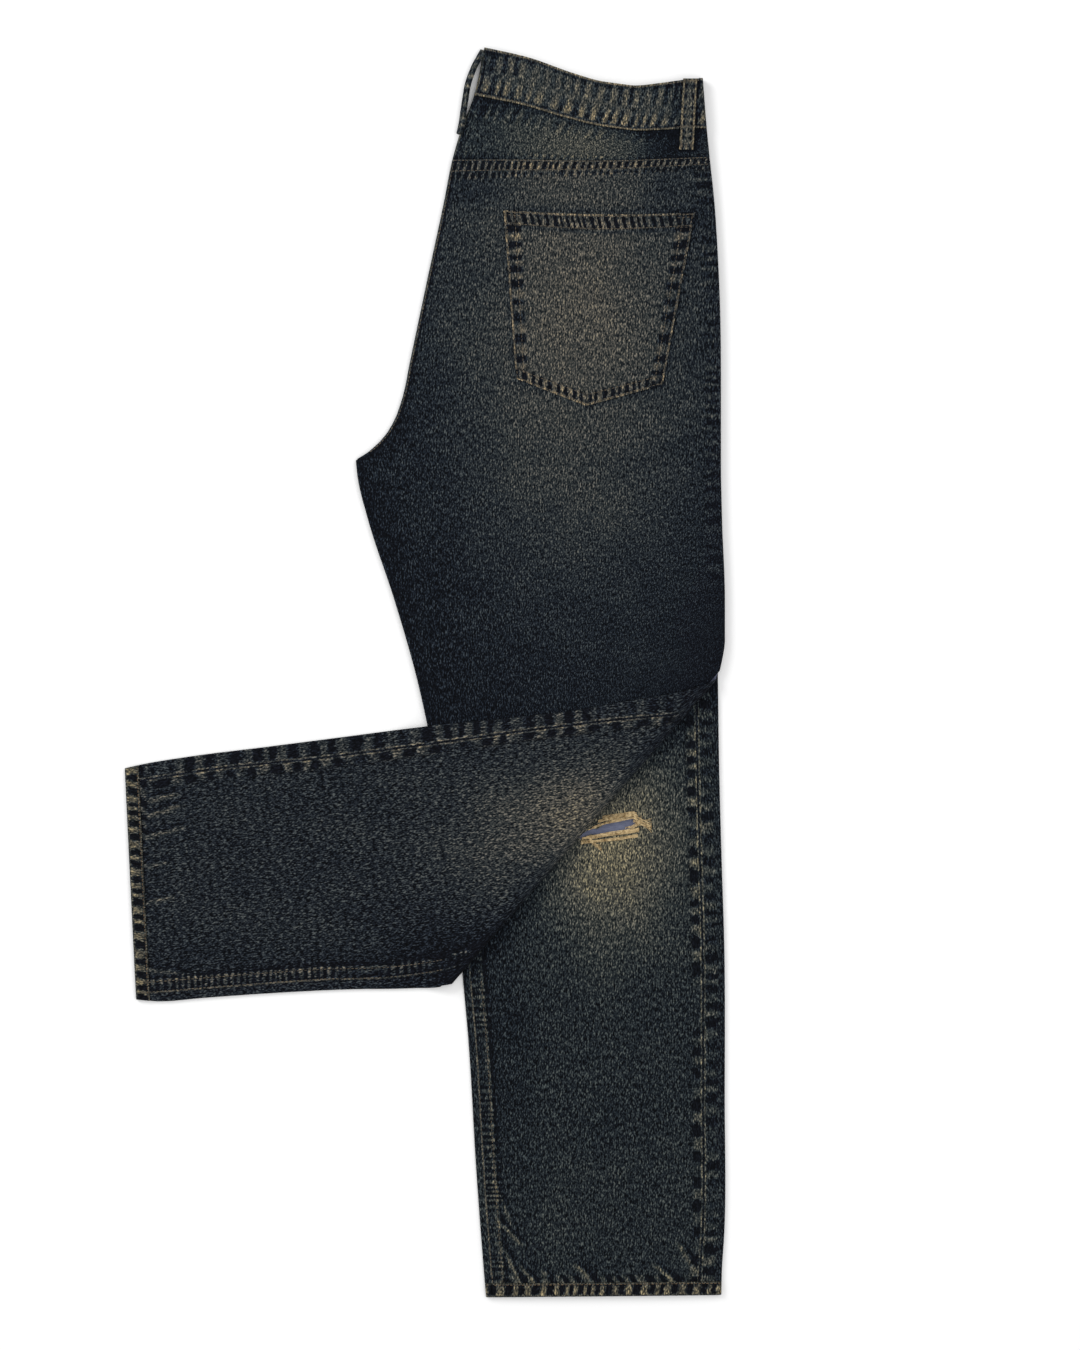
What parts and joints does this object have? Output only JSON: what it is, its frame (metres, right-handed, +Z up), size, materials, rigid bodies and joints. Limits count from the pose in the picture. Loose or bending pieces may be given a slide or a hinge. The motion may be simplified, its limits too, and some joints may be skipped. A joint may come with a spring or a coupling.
{
  "type": "ripped jeans, folded",
  "caption": "Straight-leg ripped denim jeans folded in half lengthwise, back outside, laid flat with the upper leg turned back at the knee.",
  "frame": {"origin": "centre of the bounding box's footprint, on the surface that the jeans lie on", "axes": "+Y towards the waist, +Z up off the surface, +X towards the folded side edge (the outseam of both legs)"},
  "size_m": [0.528, 1.098, 0.0136],
  "materials": {
    "denim": "dark overdyed slub denim, dry and matt",
    "denim_worn": "the same denim, worn paler at hems, band and pocket",
    "denim_inside": "blue-grey inner face of the denim, matt"
  },
  "bodies": {
    "root": {"left_back_panel": "denim_inside", "left_back_yoke": "denim_inside", "left_back_waistband": "denim_worn", "left_front_waistband": "denim_worn", "left_front_panel": "denim", "left_front_hem": "denim_worn", "left_back_hem": "denim_worn", "hidden_layers": "denim_inside", "right_back_panel": "denim", "right_back_yoke": "denim", "right_back_waistband": "denim_worn", "right_front_waistband": "denim_worn", "right_back_panel_turned": "denim", "right_front_panel": "denim", "right_front_hem": "denim_worn", "right_back_hem": "denim_worn", "right_back_pocket": "denim_worn", "side_belt_loop": "denim_worn", "centre_belt_loop": "denim_worn"}
  },
  "joints": []
}
